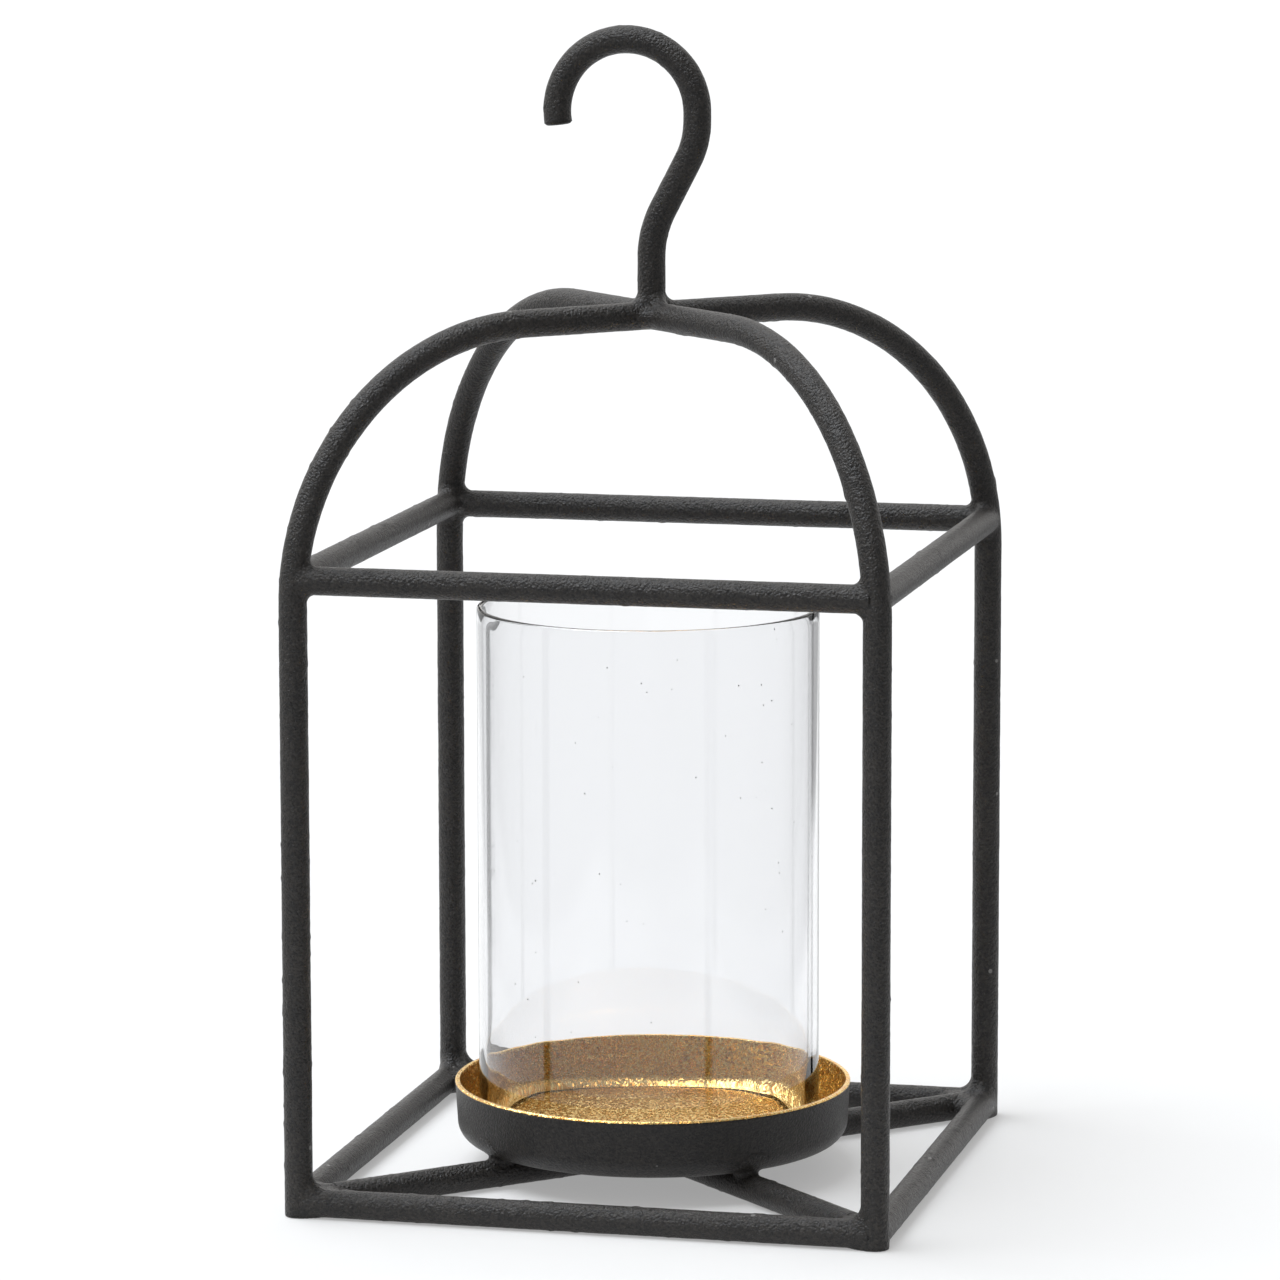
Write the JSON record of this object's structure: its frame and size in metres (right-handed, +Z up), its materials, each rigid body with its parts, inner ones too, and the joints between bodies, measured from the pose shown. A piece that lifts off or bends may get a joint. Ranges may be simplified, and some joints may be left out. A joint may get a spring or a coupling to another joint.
{
  "type": "candle lantern",
  "caption": "Square cage of bent round rod with an arched crown and a hanging hook, holding a loose clear glass tube in a shallow welded dish for a candle.",
  "frame": {"origin": "on the floor, below the middle of the square cage", "axes": "+Z up along the cage; -Y is the front; +X to the right, and the hook's tip points to the left"},
  "size_m": [0.151, 0.151, 0.2878],
  "materials": {
    "black_coat": "matte sand-textured powder coat, charcoal black",
    "dish_coat": "matte fine powder coat, charcoal black",
    "gold_paint": "metallic gold paint with a coarse sparkle, on the inside and rim of the dish",
    "clear_glass": "clear, with a few small seeds, ground foot and melted rim"
  },
  "bodies": {
    "cage": {"hoop_full": "black_coat", "hoop_half_front_right": "black_coat", "hoop_half_back_left": "black_coat", "hook": "black_coat", "cross_full": "black_coat", "cross_half_front_right": "black_coat", "cross_half_back_left": "black_coat", "ring_top_front": "black_coat", "ring_top_right": "black_coat", "ring_top_back": "black_coat", "ring_top_left": "black_coat", "ring_base_front": "black_coat", "ring_base_right": "black_coat", "ring_base_back": "black_coat", "ring_base_left": "black_coat", "dish": "dish_coat", "weld_top_front_left": "black_coat", "weld_top_front_right": "black_coat", "weld_top_back_right": "black_coat", "weld_top_back_left": "black_coat", "weld_base_front_left": "black_coat", "weld_base_front_right": "black_coat", "weld_base_back_right": "black_coat", "weld_base_back_left": "black_coat", "weld_crown": "black_coat", "weld_cross_front_right": "black_coat", "weld_cross_back_left": "black_coat", "weld_dish_front_left": "black_coat", "weld_dish_front_right": "black_coat", "weld_dish_back_right": "black_coat", "weld_dish_back_left": "black_coat"},
    "glass": {"glass_tube": "clear_glass"}
  },
  "joints": [
    {"name": "glass_lift", "type": "slide", "parent": "cage", "child": "glass", "axis": [0, 0, 1], "range_m": [0, 0.065]}
  ]
}
